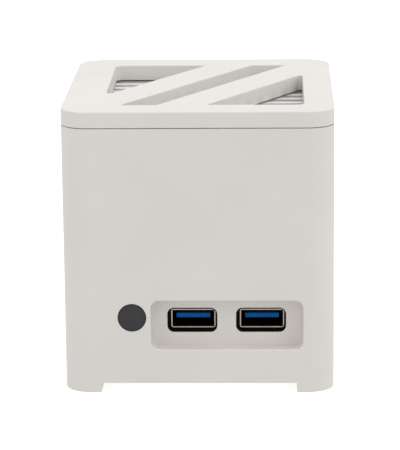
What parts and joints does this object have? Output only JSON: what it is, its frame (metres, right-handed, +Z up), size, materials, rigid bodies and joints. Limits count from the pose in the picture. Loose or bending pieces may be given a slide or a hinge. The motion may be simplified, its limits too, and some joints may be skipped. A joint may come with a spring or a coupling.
{
  "type": "network storage enclosure",
  "caption": "Small upright box with rounded corners, a vented lid over a finned heat sink, a front power button and recessed front sockets.",
  "frame": {"origin": "centre of the footprint, on the resting plane under the feet", "axes": "+X to the right seen from the front, +Y from the front to the back, +Z up"},
  "size_m": [0.08, 0.088, 0.0848],
  "materials": {
    "printed_white": "fine matte",
    "button_grey": "matte",
    "steel": "plated screws and springs",
    "nickel": "nickel-plated sheet",
    "blue_plastic": "satin",
    "black_plastic": "satin",
    "black_rubber": "matte",
    "gold_contact": "gold-plated",
    "board_green": "solder mask",
    "heat_sink": "natural, extruded",
    "brass": "turned",
    "chip_black": "moulded",
    "chip_metal": "nickel-plated lid",
    "pad_blue": "soft silicone",
    "cell_steel": "satin",
    "ferrite": "ferrite",
    "capacitor": "can"
  },
  "bodies": {
    "case": {"battery_holder": "black_plastic", "board_screws": "steel", "body_shell": "printed_white", "capacitors": "capacitor", "coin_cell": "cell_steel", "compute_board": "board_green", "drive_board_left": "board_green", "drive_board_right": "board_green", "drive_chips_left": "chip_black", "drive_chips_right": "chip_black", "drive_post_left": "brass", "drive_post_right": "brass", "drive_screw_left": "steel", "drive_screw_right": "steel", "drive_socket_left": "black_plastic", "drive_socket_right": "black_plastic", "hatch_cover": "printed_white", "hatch_screws": "steel", "heat_sink": "heat_sink", "inductors": "ferrite", "io_board": "board_green", "lan_contacts": "gold_contact", "lan_insert": "black_plastic", "lan_jack": "nickel", "memory_chips": "chip_black", "power_jack": "black_plastic", "power_jack_pin": "nickel", "sink_screws": "steel", "sink_spacers": "brass", "soc_package": "chip_metal", "stack_header": "black_plastic", "stack_pins": "gold_contact", "stack_socket": "black_plastic", "standoffs": "brass", "switch_body": "black_plastic", "switch_bracket": "steel", "thermal_pad": "pad_blue", "usb_contacts_left": "gold_contact", "usb_contacts_right": "gold_contact", "usb_controller": "chip_black", "usb_gasket_left": "black_rubber", "usb_gasket_right": "black_rubber", "usb_insulator_left": "blue_plastic", "usb_insulator_right": "blue_plastic", "usb_shell_left": "nickel", "usb_shell_right": "nickel", "video_insert": "black_plastic", "video_port": "nickel"},
    "lid": {"lid": "printed_white"},
    "button": {"power_button": "button_grey", "switch_plunger": "black_plastic"}
  },
  "joints": [
    {"name": "lid_lift", "type": "slide", "parent": "case", "child": "lid", "axis": [0, 0, 1], "range_m": [0, 0.05]},
    {"name": "power_press", "type": "slide", "parent": "case", "child": "button", "axis": [0, 1, 0], "range_m": [0, 0.0006], "stiffness_N_per_m": 2000}
  ]
}
